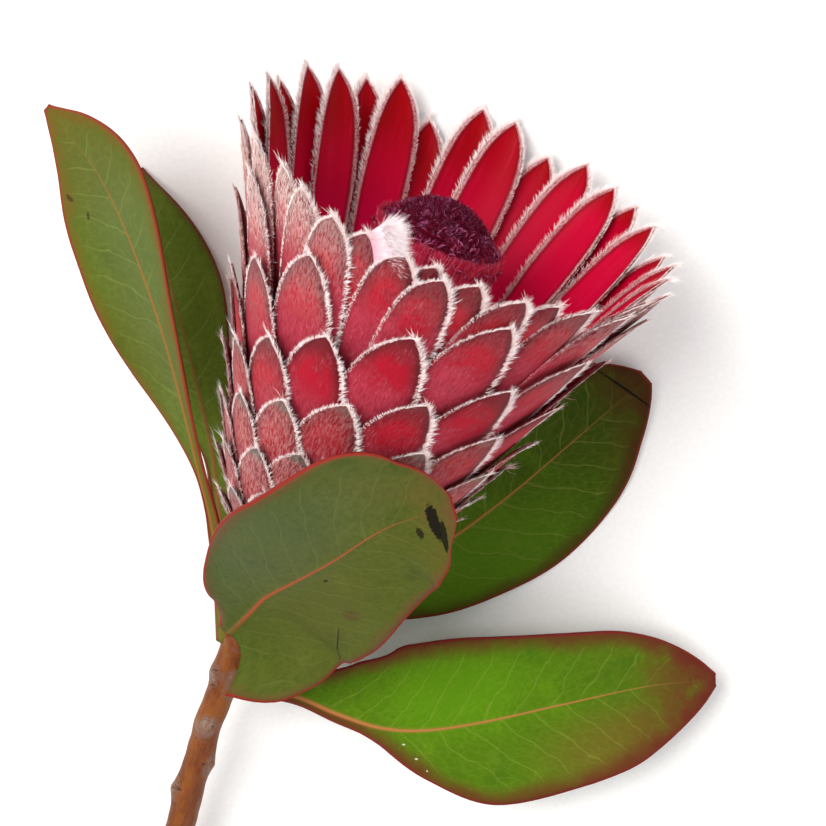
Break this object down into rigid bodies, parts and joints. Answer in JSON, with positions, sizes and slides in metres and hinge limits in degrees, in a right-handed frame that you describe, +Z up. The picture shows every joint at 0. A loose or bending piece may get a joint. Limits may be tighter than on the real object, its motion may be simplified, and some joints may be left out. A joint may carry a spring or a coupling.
{
  "type": "protea stem",
  "caption": "Cut protea stem lying on its side: spiral head of pointed pink bracts round a dark dome of florets, leathery leaves and a woody stem.",
  "frame": {"origin": "on the surface that the stem lies on, at the middle of the whole stem's outline seen from above", "axes": "+Z up from the surface it lies on; +Y from the stem's cut end towards the head; +X to the right seen from above"},
  "size_m": [0.1662, 0.248, 0.104],
  "materials": {
    "stem": "smooth orange-brown bark with grey scars",
    "bract": "silky dusty-rose bracts with pale hairy margins",
    "floret": "dark maroon velvet",
    "leaf": "leathery green with red margins and midrib"
  },
  "bodies": {
    "root": {"stem": "stem", "bracts": "bract", "florets": "floret", "leaf_front": "leaf", "leaf_left_front": "leaf", "leaf_left_back": "leaf", "leaf_right_back": "leaf", "leaf_lower_right": "leaf"}
  },
  "joints": []
}
